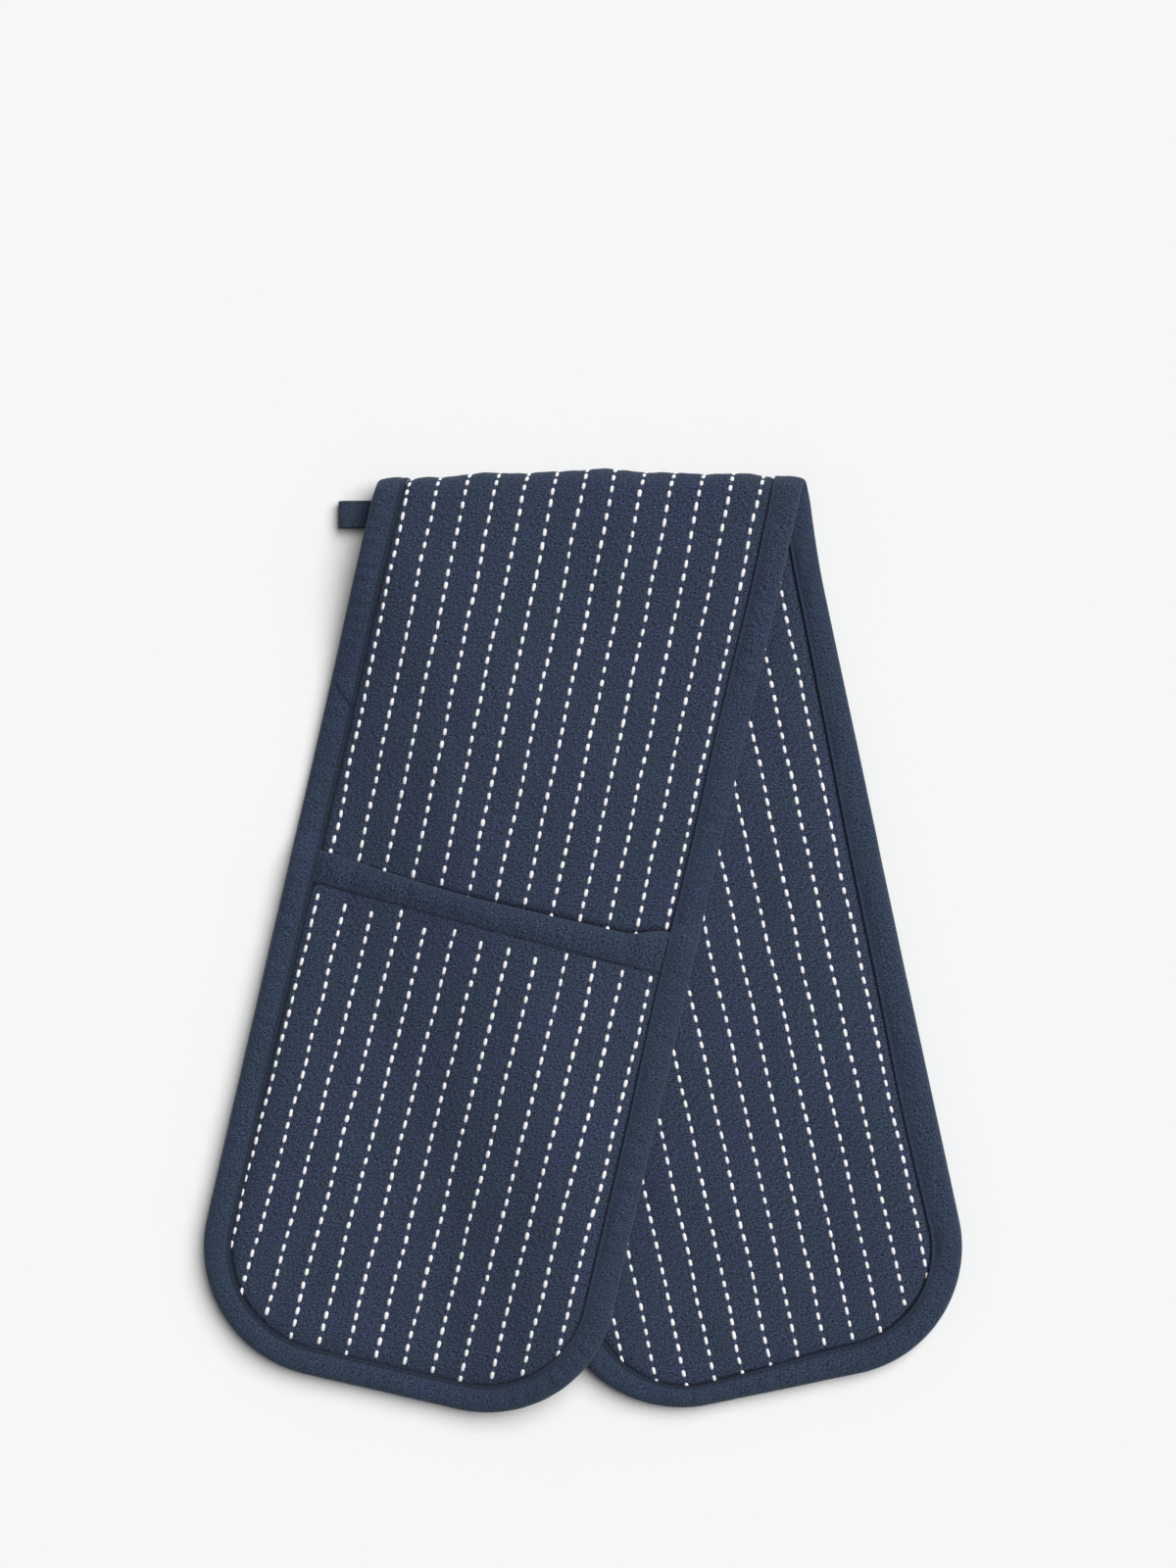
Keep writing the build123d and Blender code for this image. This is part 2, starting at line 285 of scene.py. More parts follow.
def crease(U, T, middle, degrees, length, width, height):
    """One soft fold of the cloth, with a shallower hollow beside it."""
    angle = math.radians(degrees)
    du, dt = U - middle[0], T - middle[1]
    along = du * math.sin(angle) + dt * math.cos(angle)
    across = du * math.cos(angle) - dt * math.sin(angle)
    profile = bump(across, width) - 0.55 * bump(across - 1.5 * width, width)
    return height * profile * bump(along, 0.5 * length)


def wrinkles(U, T, creases, seed):
    """Unevenness of padded cloth at three sizes, and its soft folds."""
    total = 0.42 * noise(U, T, 42, seed)
    total = total + 0.2 * noise(U, T * 0.8, 17, seed + 1) + 0.06 * noise(U, T, 5, seed + 2)
    for fold in creases:
        total = total + crease(U, T, *fold)
    return total


def tucked(past):
    """The cloth sinks to the binding's sewn edge and lies low under it."""
    past = np.maximum(past, 0)
    return -1.0 * bump(past, 1.7) - 0.55 * bump(past, 5)


def face_relief(U, T):
    past = past_binding(U, T)
    relief = dimple(face_line, U, T)
    relief = relief + wrinkles(U, T, FACE_CREASES, 11) * smooth(past / SEAM_FADE)
    relief = relief + tucked(past)
    return np.where(plan(U, T)[1] > 0, np.minimum(relief, BELOW_MOST), relief)


def back_relief(U, T):
    past = past_binding(U, T, back=True)
    relief = dimple(back_line, U, T)
    relief = relief + wrinkles(U, T, BACK_CREASES, 31) * smooth(past / SEAM_FADE)
    relief = relief + tucked(past)
    return np.where(plan(U, T)[1] > 0, relief, np.minimum(relief, INSIDE_MOST))


def face_depth(U, T):
    return TAPE - face_relief(U, T)


def back_depth(U, T):
    return TAPE + PANEL * pressed(U, T) + back_relief(U, T)


# ---- form of the pockets, u across and t from the fold as each is seen from its face ----

MOUTH_SEAM = 212.1  # the mouth binding's stitching, from the fold
MOUTH_SLOPE = -0.0296  # of the upper pocket's
MOUTH_EDGE = 199.0
UPPER_MOUTH_PAST = 0.9  # the upper pocket's edge is this much further from the fold
DRAWN_LEFT = 4.9  # and its ends are drawn towards the fold, left and right as seen from above
DRAWN_RIGHT = 4.5


def side_of(upper):
    """The sign of T on the half that a pocket is on."""
    return -1 if upper else 1


def mouth_seam(u, upper):
    """Where the mouth binding is stitched, along the strip."""
    return MOUTH_SEAM + MOUTH_SLOPE * u * upper


def mouth_edge(u, upper):
    """The mouth's free edge, the upper one drawn towards the fold where its ends are sewn in."""
    if not upper:
        return np.full(np.shape(u), MOUTH_EDGE)
    drawn_left = DRAWN_LEFT * np.clip((u - 5) / 71, 0, 1) ** 1.6
    drawn_right = DRAWN_RIGHT * ramp(-u, 60, 17)
    return MOUTH_EDGE + UPPER_MOUTH_PAST - drawn_left - drawn_right


def pocket_depths(U, T, upper):
    """Depths of a pocket's outer face and of its lining."""
    side = side_of(upper)
    u, t = side * U, side * T
    past = past_binding(U, T)
    lean = 1 - 0.3 * u / HALF_WIDTH if upper else 1.0  # the upper pocket stands open more at the right
    full = rise(u, t) * lean
    if upper:
        relief = dimple(upper_pocket_line, U, T) + tucked(past)
        relief = relief + wrinkles(U, T, POCKET_CREASES, 51) * smooth(past / SEAM_FADE)
    else:
        relief = np.minimum(dimple(lower_pocket_line, U, T) + tucked(past), UNDER_POCKET_MOST)
    outer = TAPE - SEAM - full - relief
    lining = TAPE - POCKET_GAP - full + 0.15 * noise(U, T, 20, 61)
    return outer, lining


def pocket_face(upper, off=0.0):
    """The depth of a pocket's outer face, or of what lies off above it, as a function of U and T."""
    def depth(U, T):
        return pocket_depths(U, T, upper)[0] - off
    return depth


# ---- making meshes ----

def make(name, points, quads, material, uv, painted_shade_distance=FAR):
    """An object of quads in millimetres. painted_shade_distance is how far each point is from a sewn edge,
    which its material turns into painted shade.
    """
    mesh = bpy.data.meshes.new(name)
    points = np.asarray(points, float) * MM
    quads = np.asarray(quads, np.int64)
    mesh.vertices.add(len(points))
    mesh.vertices.foreach_set("co", points.ravel())
    mesh.loops.add(quads.size)
    mesh.loops.foreach_set("vertex_index", quads.ravel())
    mesh.polygons.add(len(quads))
    mesh.polygons.foreach_set("loop_start", np.arange(0, quads.size, 4))
    mesh.polygons.foreach_set("use_smooth", np.ones(len(quads), bool))
    layer = mesh.uv_layers.new(name="cloth")
    layer.data.foreach_set("uv", np.asarray(uv, float)[quads.ravel()].ravel())
    # each point's distance from a sewn edge, kept for the painted shade there
    distance = mesh.attributes.new("crease", "FLOAT", "POINT")
    values = np.broadcast_to(np.ravel(painted_shade_distance), len(points))
    distance.data.foreach_set("value", values.astype(np.float32))
    mesh.update(calc_edges=True)
    mesh.validate()
    mesh.materials.append(material)
    obj = bpy.data.objects.new(name, mesh)
    bpy.context.scene.collection.objects.link(obj)
    return obj


def grid(rows, columns, first=0, flip=False, wrap_rows=False, wrap_columns=False):
    """Quads over a grid of points counted row by row from first."""
    row = np.arange(rows if wrap_rows else rows - 1)
    column = np.arange(columns if wrap_columns else columns - 1)
    row, column = np.meshgrid(row, column, indexing="ij")
    next_row = (row + 1) % rows
    next_column = (column + 1) % columns
    corners = [
        row * columns + column,
        row * columns + next_column,
        next_row * columns + next_column,
        next_row * columns + column,
    ]
    quads = np.stack(corners, -1).reshape(-1, 4) + first
    return quads[:, ::-1] if flip else quads


def rim(rows, columns):
    """Indices round the outside of a grid."""
    top = np.arange(columns)
    right = np.arange(1, rows) * columns + columns - 1
    bottom = (rows - 1) * columns + np.arange(columns - 2, -1, -1)
    left = np.arange(rows - 2, 0, -1) * columns
    return np.concatenate([top, right, bottom, left])


def padded_shell(U, T, outer, inner):
    """A closed sheet between two depths over a grid of strip coordinates."""
    outer_points = place(U, T, outer).reshape(-1, 3)
    inner_points = place(U, T, inner).reshape(-1, 3)
    edge = rim(*U.shape)
    after = np.roll(edge, -1)
    count = U.size
    walls = np.stack([edge, edge + count, after + count, after], -1)
    quads = np.concatenate([grid(*U.shape), grid(*U.shape, count, flip=True), walls])
    uv = np.stack([U.ravel(), T.ravel()], -1)
    return np.concatenate([outer_points, inner_points]), quads, np.concatenate([uv, uv])


def across_fold(obj):
    """Bakes obj's placing into its mesh."""
    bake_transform(obj)


def across_pocket(obj):
    """Bakes obj's placing into its mesh."""
    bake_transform(obj)


# ---- materials ----

PAINTED_SHADE_REACH = 1.1  # millimetres from a sewn edge that get painted shade
# the darkest that the painted shade makes the colour, as a share of it
DARKEST_PAINTED_SHADE = 0.36
CLOUDS = 0.03  # scales of noise, in the cloth's own millimetres
YARNS = 2.8
TWILL = 2.4
TWILL_TURN = math.radians(-42)


def srgb(*channels):
    def linear(channel):
        value = channel / 255
        return value / 12.92 if channel <= 10 else ((value + 0.055) / 1.055) ** 2.4
    return tuple(linear(channel) for channel in channels) + (1.0,)


def nodes_of(material):
    material.use_nodes = True
    tree = material.node_tree
    tree.nodes.clear()
    out = tree.nodes.new("ShaderNodeOutputMaterial")
    shader = tree.nodes.new("ShaderNodeBsdfPrincipled")
    tree.links.new(shader.outputs[0], out.inputs["Surface"])
    return tree, shader


def feed(tree, socket, value):
    """Give a socket a constant or the output of another node."""
    if isinstance(value, (int, float, tuple)):
        socket.default_value = value
    else:
        tree.links.new(value, socket)


def cloth_uv(tree):
    node = tree.nodes.new("ShaderNodeUVMap")
    node.uv_map = "cloth"
    return node.outputs[0]


def math_node(tree, operation, *values):
    node = tree.nodes.new("ShaderNodeMath")
    node.operation = operation
    for socket, value in zip(node.inputs, values):
        feed(tree, socket, value)
    return node.outputs[0]


def noise_node(tree, vector, scale, detail, stretch=(1, 1, 1), turn=0.0):
    mapping = tree.nodes.new("ShaderNodeMapping")
    mapping.vector_type = "TEXTURE"
    mapping.inputs["Scale"].default_value = stretch
    mapping.inputs["Rotation"].default_value = (0, 0, turn)
    tree.links.new(vector, mapping.inputs["Vector"])
    node = tree.nodes.new("ShaderNodeTexNoise")
    node.inputs["Scale"].default_value = scale
    node.inputs["Detail"].default_value = detail
    tree.links.new(mapping.outputs[0], node.inputs["Vector"])
    return node.outputs[0]


def ramp_node(tree, value, stops):
    node = tree.nodes.new("ShaderNodeValToRGB")
    while len(node.color_ramp.elements) < len(stops):
        node.color_ramp.elements.new(0.5)
    for element, (position, colour) in zip(node.color_ramp.elements, stops):
        element.position = position
        element.color = colour
    tree.links.new(value, node.inputs[0])
    return node.outputs[0]


def mix_node(tree, factor, first, second):
    node = tree.nodes.new("ShaderNodeMix")
    node.data_type = "RGBA"
    for socket, value in ((node.inputs[0], factor), (node.inputs[6], first), (node.inputs[7], second)):
        feed(tree, socket, value)
    return node.outputs[2]


def painted_crease_shade(tree):
    """Painted shade beside the sewn edges, darker nearer them, by the distance that each mesh carries in
    millimetres.
    """
    distance = tree.nodes.new("ShaderNodeAttribute")
    distance.attribute_name = "crease"
    shade = tree.nodes.new("ShaderNodeMapRange")
    shade.interpolation_type = "SMOOTHSTEP"
    shade.inputs["From Min"].default_value = 0.0
    shade.inputs["From Max"].default_value = PAINTED_SHADE_REACH
    shade.inputs["To Min"].default_value = DARKEST_PAINTED_SHADE
    shade.inputs["To Max"].default_value = 1.0
    tree.links.new(distance.outputs["Fac"], shade.inputs["Value"])
    return shade.outputs[0]


def roughen(tree, shader, height, strength, distance):
    node = tree.nodes.new("ShaderNodeBump")
    node.inputs["Strength"].default_value = strength
    node.inputs["Distance"].default_value = distance
    tree.links.new(height, node.inputs["Height"])
    tree.links.new(node.outputs[0], shader.inputs["Normal"])


def cloth_material(name, main, cool, violet, grain, patch, sheen=0.1):
    """Plain woven cotton in the cloth's own millimetres: dyed unevenly, with yarns and a little fuzz, and
    painted shade beside its sewn edges.
    """
    material = bpy.data.materials.new(name)
    tree, shader = nodes_of(material)
    uv = cloth_uv(tree)
    clouds = noise_node(tree, uv, CLOUDS, 2.0)
    dye = ramp_node(tree, clouds, [(0.3, cool), (0.5, main), (0.7, violet)])
    dye = mix_node(tree, patch, main, dye)
    yarns_across = noise_node(tree, uv, YARNS, 1.0, stretch=(1.0, 2.4, 1))
    yarns_along = noise_node(tree, uv, YARNS, 1.0, stretch=(2.4, 1.0, 1))
    twill = noise_node(tree, uv, TWILL, 1.0, stretch=(0.9, 3.4, 1), turn=TWILL_TURN)
    weave = math_node(tree, "ADD", math_node(tree, "ADD", yarns_across, yarns_along), twill)
    level = math_node(tree, "SUBTRACT", weave, 1.5)
    tone = math_node(tree, "ADD", math_node(tree, "MULTIPLY", level, grain), 1.0)
    tone = math_node(tree, "MAXIMUM", tone, 0.3)
    # the colour is darkened by painted shade beside the sewn edges
    tone = math_node(tree, "MULTIPLY", tone, painted_crease_shade(tree))
    scaled = tree.nodes.new("ShaderNodeVectorMath")
    scaled.operation = "SCALE"
    tree.links.new(dye, scaled.inputs[0])
    tree.links.new(tone, scaled.inputs["Scale"])
    tree.links.new(scaled.outputs[0], shader.inputs["Base Color"])
    roughen(tree, shader, weave, 0.5, 0.0003)
    shader.inputs["Roughness"].default_value = 0.95
    shader.inputs["Specular IOR Level"].default_value = 0.1
    shader.inputs["Sheen Weight"].default_value = sheen
    shader.inputs["Sheen Roughness"].default_value = 0.5
    shader.inputs["Sheen Tint"].default_value = (0.75, 0.85, 0.95, 1)
    return material


def thread_material(name, light, dark, twist):
    """Twisted thread: its plies run slantwise round it, along and round the thread in millimetres."""
    material = bpy.data.materials.new(name)
    tree, shader = nodes_of(material)
    uv = cloth_uv(tree)
    separate = tree.nodes.new("ShaderNodeSeparateXYZ")
    tree.links.new(uv, separate.inputs[0])
    along, round_it = separate.outputs[0], separate.outputs[1]
    slant = math_node(tree, "ADD", along, math_node(tree, "MULTIPLY", round_it, 1.1))
    ply = math_node(tree, "SINE", math_node(tree, "MULTIPLY", slant, 2 * math.pi / twist))
    fuzz = noise_node(tree, uv, 3.0, 3.0)
    level = math_node(tree, "ADD", math_node(tree, "MULTIPLY", ply, 0.3), fuzz)
    colour = ramp_node(tree, level, [(0.15, dark), (0.6, light)])
    tree.links.new(colour, shader.inputs["Base Color"])
    roughen(tree, shader, level, 0.6, 0.0002)
    shader.inputs["Roughness"].default_value = 0.75
    shader.inputs["Sheen Weight"].default_value = 0.2
    return material


NAVY = srgb(51, 61, 79)
TEAL = srgb(48, 61, 76)
VIOLET = srgb(52, 59, 84)
BINDING_NAVY = srgb(50, 62, 80)
BINDING_VIOLET = srgb(51, 59, 83)
LOOP_NAVY = srgb(54, 64, 80)
stitched_cloth = cloth_material("stitched_cloth", NAVY, TEAL, VIOLET, 3.6, 0.6)
plain_binding = cloth_material("plain_binding", BINDING_NAVY, TEAL, BINDING_VIOLET, 3.2, 0.7, 0.12)
loop_tape = cloth_material("loop_tape", LOOP_NAVY, TEAL, NAVY, 1.8, 0.3)
white_thread = thread_material("white_thread", srgb(255, 255, 254), srgb(238, 238, 241), 1.1)
link_thread = thread_material("link_thread", srgb(84, 96, 132), srgb(44, 52, 78), 1.1)
navy_thread = thread_material("navy_thread", srgb(30, 37, 52), srgb(14, 18, 28), 0.6)


# ---- the padded strip ----

ACROSS = np.linspace(-1, 1, int(2 * (HALF_WIDTH - PANEL_INSET) / COLUMN_STEP) + 1)
HALVES = ("lower", "upper", "lower_fold", "upper_fold")


def painted_mouth_shadow(U, T):
    """Distance from the upper pocket's mouth on the cloth before it, for the painted shadow that the mouth
    casts there, wider towards the right.
    """
    before = mouth_edge(-U, True) + T
    shaded = np.maximum(before, 0) / (1 + 2.2 * ramp(U, -50, 60))
    return np.where(before < -4, FAR, shaded)


def painted_shade_offset(U, T):
    """Sewn edges along the right side face away from the light, so they are given less painted shade than
    those on the left and at the ends.
    """
    along_side = 1 - ramp(np.abs(T), 375, 30)
    return 0.65 * ramp(U, -30, 60) * along_side - 0.2


def padded_strip():
    reach = HALF_LENGTH - PANEL_INSET
    rows = np.linspace(-reach, reach, 2 * int(reach / ROW_STEP))  # even, so the fold is between two rows
    T, across = np.meshgrid(rows, ACROSS, indexing="ij")
    U = across * half_width(T, PANEL_INSET)
    T = with_fold(U, T)
    points, quads, uv = padded_shell(U, T, face_depth(U, T), back_depth(U, T))
    # painted shade on the cloth beside the binding's sewn edges, and the painted shadow of the upper
    # pocket's mouth
    on_face = np.minimum(np.maximum(past_binding(U, T), 0) + painted_shade_offset(U, T), painted_mouth_shadow(U, T))
    on_back = np.maximum(past_binding(U, T, back=True), 0) + painted_shade_offset(U, T)
    shade = np.concatenate([on_face.ravel(), on_back.ravel()])
    strip = make("padded_strip", points, quads, stitched_cloth, uv, shade)
    across_fold(strip)
    plies = ("face_cloth", "wadding", "back_cloth")
    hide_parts(*[f"{half}_{ply}" for half in HALVES for ply in plies])


# ---- edge binding ----

# the tape's section: distance in from the edge, and height off the cloth
TAPE_PROFILE = (
    (0.0, 0.7), (3.2, 1.05), (5.0, 1.4), (7.5, 1.5), (10.0, 1.15),
    (11.6, 0.65), (12.5, 0.2), (13.3, 0.55), (13.9, 0.4), (14.3, -0.5),
)
TAPE_COLUMNS = (14.3, 13.9, 13.3, 12.9, 12.5, 12.1, 11.6, 10.6, 9.2, 7.5, 5.8, 4.4, 3.2)
TAPE_WIDTH = TAPE_COLUMNS[0]
EDGE_ROUND = TAPE_COLUMNS[-1]  # radius of the tape's turn round the edge
EDGE_ANGLES = np.linspace(0, np.pi, 9)[1:-1]
JOIN_U, JOIN_T = -86.1, -125.2  # a slanting seam joins the binding's ends, in the upper half's side
JOIN_SLANT = math.radians(46.8)
JOIN_REACH = 30.0  # along the strip, on either side of its middle
PUCKERED = 12.4  # the binding is drawn in by its stitches this far in
STITCH_SHADE = 0.45  # added at the topstitch, so that its painted shade is lighter than a seam's
ABOVE_TABLE = 0.05  # least height of the lower half's binding
SECTION_STEP = 1.35  # cloth from one column of the section to the next, for its weave
NOWHERE = 99.0  # further than anything measured by it


def outline(step):
    """Points round the strip's outline with their inward directions, about step apart."""
    straight_u = HALF_WIDTH - END_RADIUS
    straight_t = HALF_LENGTH - END_RADIUS
    turns = np.linspace(0, 90, int(math.pi / 2 * END_RADIUS / step) + 1)
    corners = [(1, 1, 0), (-1, 1, 90), (-1, -1, 180), (1, -1, 270)]
    points, inward = [], []
    for number, (side_u, side_t, begin) in enumerate(corners):
        centre = np.array([side_u * straight_u, side_t * straight_t])
        for angle in np.radians(begin + turns):
            outwards = np.array([math.cos(angle), math.sin(angle)])
            points.append(centre + END_RADIUS * outwards)
            inward.append(-outwards)
        following = corners[(number + 1) % 4]
        next_centre = np.array([following[0] * straight_u, following[1] * straight_t])
        start, goal = points[-1], next_centre - END_RADIUS * inward[-1]
        count = int(np.linalg.norm(goal - start) / step)
        for part in range(1, count):
            points.append(start + (goal - start) * part / count)
            inward.append(inward[-1])
    return np.array(points), np.array(inward)


EDGE, INWARD = outline(EDGE_STEP)
EDGE_RUN = np.concatenate([[0], np.cumsum(np.linalg.norm(np.diff(EDGE, axis=0), axis=1))])


def pocket_stack(T):
    """How much thicker the sewn edge is where a pocket is caught in it."""
    return SEAM * ramp(np.abs(T), 188, 14)


def edge_wander(run):
    """The binding's sewn edge isn't quite even."""
    return 0.35 * noise(run, 0 * run, 60, 71)


def tape_height(inset, seed):
    """How far the binding stands off the cloth, all along the edge: puckered by its stitches and puffed."""
    insets = np.full(len(EDGE_RUN), inset)
    height = np.interp(insets, *zip(*TAPE_PROFILE))
    full = smooth((PUCKERED - insets) / 3)
    pucker = 0.13 * bump(insets - PUCKERED, 1.4) * np.cos(2 * np.pi * EDGE_RUN / TOPSTITCH_PITCH)
    loose = 0.14 * full * noise(EDGE_RUN, insets * 0.5, 4.5, seed)
    waves = 0.25 * full * noise(EDGE_RUN, insets * 0.2, 26, seed + 1)
    return height * (1 + loose) + waves + pucker


def binding_section():
    """U, T and depth of the tape all along the edge, from its face edge round to its back edge."""
    U_edge, T_edge = EDGE.T
    wander = edge_wander(EDGE_RUN)
    kept = pressed(U_edge, with_fold(U_edge, T_edge))
    columns = []

    def add(inset, depth, narrow=1.0):
        shift = (inset + wander * np.clip(inset / BACK_BINDING, 0, 1)) * narrow
        U = U_edge + shift * INWARD[:, 0]
        columns.append((U, with_fold(U, T_edge + shift * INWARD[:, 1]), depth))

    def face(inset):
        return TAPE - pocket_stack(T_edge) - kept * tape_height(inset, 81)

    def back(inset):
        return TAPE + PANEL * kept + kept * tape_height(inset, 91)

    for inset in TAPE_COLUMNS:
        add(inset, face(inset), FACE_BINDING / TAPE_WIDTH)
    outer, inner = face(EDGE_ROUND), back(EDGE_ROUND)
    middle, half = (outer + inner) / 2, (inner - outer) / 2
    for angle in EDGE_ANGLES:
        add(EDGE_ROUND * (1 - math.sin(angle)), middle - half * math.cos(angle))
    for inset in TAPE_COLUMNS[::-1]:
        add(inset, back(inset), back_width(U_edge, T_edge))
    return (np.stack(part, -1) for part in zip(*columns))


def off_join(U, T):
    """Distance from the slanting seam where the binding's ends are joined."""
    off = (U - JOIN_U) * math.cos(JOIN_SLANT) + (T - JOIN_T) * math.sin(JOIN_SLANT)
    beside = (U < JOIN_U + 16) & (np.abs(T - JOIN_T) < JOIN_REACH)
    return np.where(beside, off, NOWHERE)


def above_table(U, T, d):
    """Depths on the lower half held off the table."""
    height = lift(U, T) + np.where(plan(U, T)[1] > 0, d, NOWHERE)
    return np.where(height < ABOVE_TABLE, d + (ABOVE_TABLE - height), d)


def edge_binding():
    U, T, d = binding_section()
    rows, columns = U.shape
    front = slice(0, len(TAPE_COLUMNS))
    join = off_join(U[:, front], T[:, front])
    d[:, front] += 0.5 * bump(join, 0.9) - 0.3 * bump(join - 2.5, 1.8)  # a groove and the welt beside it
    d = above_table(U, T, d)
    section_run = np.broadcast_to(SECTION_STEP * np.arange(columns), U.shape)
    uv = np.stack([section_run.ravel(), np.repeat(EDGE_RUN, columns)], -1)
    inset = np.concatenate([TAPE_COLUMNS, 0 * EDGE_ANGLES, TAPE_COLUMNS[::-1]])
    # painted shade along the topstitch, at the tape's sewn edge and along the join's groove
    sewn = np.minimum(np.abs(inset - STITCHED) + STITCH_SHADE, TAPE_WIDTH - inset)
    shade = sewn + painted_shade_offset(U, T)
    shade[:, front] = np.minimum(shade[:, front], np.abs(join))
    points = place(U, T, d).reshape(-1, 3)
    quads = grid(rows, columns, wrap_rows=True)
    binding = make("edge_binding", points, quads, plain_binding, uv, shade)
    across_fold(binding)
    bindings = [f"{half}_edge_binding" for half in HALVES]
    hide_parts(*bindings, "lower_pocket_seam", "upper_pocket_seam")


# ---- pockets ----

# the mouth binding's section: share of the way from the mouth to its seam, and height off the pocket
MOUTH_PROFILE = (
    (1.0, -0.5), (0.97, 0.45), (0.9, 0.25), (0.8, 0.8),
    (0.65, 1.35), (0.48, 1.7), (0.32, 1.65), (0.2, 1.3),
)
MOUTH_STITCHED = 1.5  # its topstitch is this far from the seam
MOUTH_SHADED = 1.6  # and the middle of the painted shade along it
MOUTH_INSET = 9.0  # its ends are this far inside the outline, under the edge binding
MOUTH_STEP = 1.5  # cloth from one column of the section to the next, for its weave


def pocket_sheet(upper):
    name = "upper" if upper else "lower"
    down = np.linspace(0, 1, int((HALF_LENGTH - 200) / ROW_STEP) + 1)
    down, across = np.meshgrid(down, ACROSS, indexing="ij")
    start = mouth_edge(across * (HALF_WIDTH - PANEL_INSET), upper) + 1.0
    t = start + (HALF_LENGTH - PANEL_INSET - start) * down
    u = across * half_width(t, PANEL_INSET)
    U, T = side_of(upper) * u, side_of(upper) * t
    points, quads, uv = padded_shell(U, T, *pocket_depths(U, T, upper))
    from_seam = t - mouth_seam(u, upper) + 0.3
    # painted shade beside the binding's sewn edges and below the mouth binding's seam
    on_face = np.clip(np.minimum(past_binding(U, T) + painted_shade_offset(U, T), from_seam), 0, FAR)
    shade = np.concatenate([on_face.ravel(), np.full(U.size, FAR)])
    sheet = make(f"{name}_pocket_sheet", points, quads, stitched_cloth, uv, shade)
    across_pocket(sheet)
    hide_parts(f"{name}_pocket_cloth", f"{name}_pocket_wadding", f"{name}_pocket_lining")


def mouth_section(upper):
    """U, T, depth and distance from the seam of the mouth's tape, over the mouth and back inside."""
    side = side_of(upper)
    u = np.linspace(-1, 1, 2 * ACROSS.size) * (HALF_WIDTH - MOUTH_INSET)
    edge, seam = mouth_edge(u, upper), mouth_seam(u, upper)
    held = 0.35 + 0.65 * smooth((HALF_WIDTH - BACK_BINDING + 1.5 - np.abs(u)) / 3)
    columns = []

    def surfaces(share, height):
        t = edge + share * (seam - edge)
        outer, lining = pocket_depths(side * u, side * t, upper)
        puff = height * held * (1 + 0.15 * noise(u * side, share * 3 + 0 * u, 7, 101))
        return outer - puff, lining + puff * 0.6

    def add(share, depth):
        t = edge + share * (seam - edge)
        columns.append((side * u, side * t, depth, (1 - share) * (seam - edge)))

    for share, height in MOUTH_PROFILE:
        add(share, surfaces(share, height)[0])
    last_share, last_height = MOUTH_PROFILE[-1]
    outer, inner = surfaces(last_share, last_height)
    middle, half = (outer + inner) / 2, (inner - outer) / 2
    for angle in EDGE_ANGLES:
        add(last_share * (1 - math.sin(angle)), middle - half * math.cos(angle))
    for share, height in MOUTH_PROFILE[::-1]:
        add(share, surfaces(share, height)[1])
    return (np.stack(part, -1) for part in zip(*columns))


def mouth_tape(upper):
    name, side = ("upper" if upper else "lower"), side_of(upper)
    U, T, d, from_seam = mouth_section(upper)
    section_run = np.broadcast_to(MOUTH_STEP * np.arange(U.shape[1]), U.shape)
    uv = np.stack([section_run.ravel(), U.ravel()], -1)
    # painted shade along the tape's topstitch and at its seam
    shade = np.minimum(np.abs(from_seam - MOUTH_SHADED) + STITCH_SHADE, from_seam) + 0.25
    points = place(U, T, d).reshape(-1, 3)
    tape = make(f"{name}_mouth_tape", points, grid(*U.shape), plain_binding, uv, shade)
    across_pocket(tape)
    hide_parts(f"{name}_pocket_mouth_binding")


# ---- threads ----

STITCH_ENDS = 9.0  # the lines of stitch stop this far inside the strip's ends
HIDDEN_BY_POCKET = 236.0  # the face's own stitches go on this far, under the pockets
STITCH_HEIGHT = 0.85
LINK_LENGTH, LINK_WIDTH, LINK_HEIGHT = 3.4, 0.5, 0.3  # thread between two stitches, under the weave
SUNK = 0.12  # threads start this far below the cloth's surface
BINDING_THREAD_WIDTH = 0.65
MOUTH_THREAD_WIDTH = 0.62
MOUTH_THREAD_LIFT = 0.45
ROUND_THREAD = np.linspace(0, np.pi, 5)
ALONG_THREAD = np.array([-1, -0.92, -0.6, 0, 0.6, 0.92, 1])


def dashes(centres, directions, lengths, widths, height, depth_of, outward):
    """Half-round stitches on the cloth's surface. outward is -1 where less depth is outward, else 1.

    Gives the points, faces and uv, each point's U and T, and the U and T of its stitch's middle.
    """
    along, angle = np.meshgrid(ALONG_THREAD, ROUND_THREAD, indexing="ij")
    end = np.clip(1 - np.abs(along) ** 5, 0, 1)
    unit = directions / np.linalg.norm(directions, axis=1, keepdims=True)
    unit_U, unit_T = unit[:, 0, None, None], unit[:, 1, None, None]
    centre_U, centre_T = centres[:, 0, None, None], centres[:, 1, None, None]
    run = along * lengths[:, None, None] / 2
    off = np.cos(angle) * np.sqrt(end) * widths[:, None, None] / 2
    middle_U, middle_T = centre_U + run * unit_U, centre_T + run * unit_T
    U = middle_U + off * unit_T
    T = middle_T - off * unit_U
    d = depth_of(middle_U, middle_T) + outward * (np.sin(angle) * end * height - SUNK)
    count = np.arange(len(centres))
    one = grid(*along.shape, flip=outward > 0)
    quads = (one + (count * along.size)[:, None, None]).reshape(-1, 4)
    uv_run = run + 7.3 * count[:, None, None]  # each stitch is cut from another place on the thread
    uv = np.stack([uv_run.ravel(), np.broadcast_to(angle, U.shape).ravel() * 0.6], -1)
    stitch_middle = np.broadcast_to(centre_U, U.shape), np.broadcast_to(centre_T, U.shape)
    return place(U, T, d).reshape(-1, 3), quads, uv, (U, T), stitch_middle


